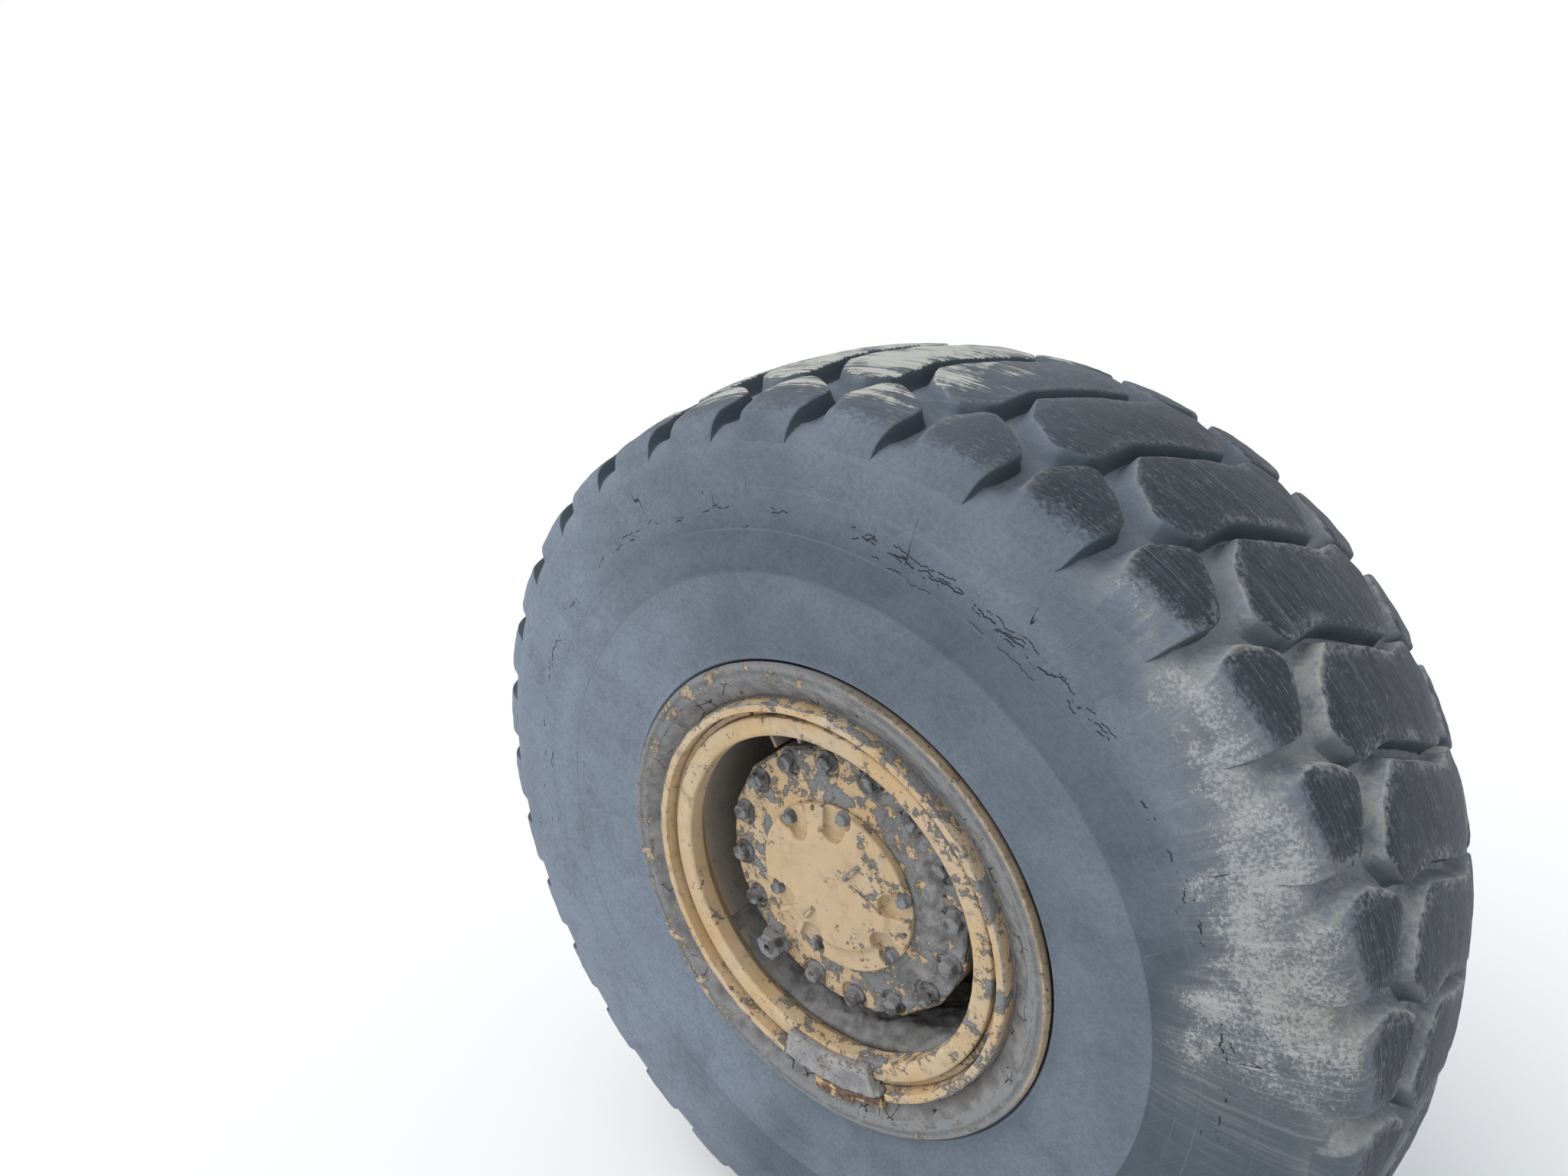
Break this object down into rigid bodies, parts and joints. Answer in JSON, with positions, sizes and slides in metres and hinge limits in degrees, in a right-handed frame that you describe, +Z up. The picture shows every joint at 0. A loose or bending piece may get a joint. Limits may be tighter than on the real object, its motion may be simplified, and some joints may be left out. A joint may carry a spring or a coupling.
{
  "type": "dump truck wheel end with lugged tyre",
  "caption": "Off-road dump truck wheel end: lugged tyre on a five-piece rim, planetary hub, stub axle with bolted flange and brake housing.",
  "frame": {"origin": "centre of the stub axle's mounting face", "axes": "Y along the wheel's axle, with the outboard face towards -Y and the mounting face towards +Y; +X to the truck's front; +Z up"},
  "size_m": [1.5571, 0.6222, 1.5581],
  "materials": {
    "tyre": "worn, scuffed and muddy rubber",
    "rim_paint": "worn yellow paint with dirt and rust",
    "hub_paint": "worn tan-yellow paint with grey dirt",
    "bare_steel": "rusty and dusty steel",
    "axle_paint": "dusty dark cast iron"
  },
  "bodies": {
    "axle": {"stub_axle": "axle_paint", "brake_housing": "axle_paint", "brake_bolts": "bare_steel", "brake_ports": "bare_steel"},
    "wheel": {"tyre": "tyre", "rim_base": "rim_paint", "wheel_disc": "rim_paint", "back_flange": "rim_paint", "front_flange": "rim_paint", "bead_seat_band": "rim_paint", "lock_ring": "rim_paint", "driver": "bare_steel", "valve_guard": "rim_paint", "valve": "bare_steel", "hub": "hub_paint", "planet_housing": "hub_paint", "wheel_nuts": "bare_steel", "hub_bolts": "bare_steel", "oil_plug": "bare_steel", "cover": "hub_paint", "cover_bolts": "bare_steel"}
  },
  "joints": [
    {"name": "wheel_spin", "type": "hinge", "parent": "axle", "child": "wheel", "pos_m": [0, -0.3, 0], "axis": [0, 1, 0], "continuous": true}
  ]
}
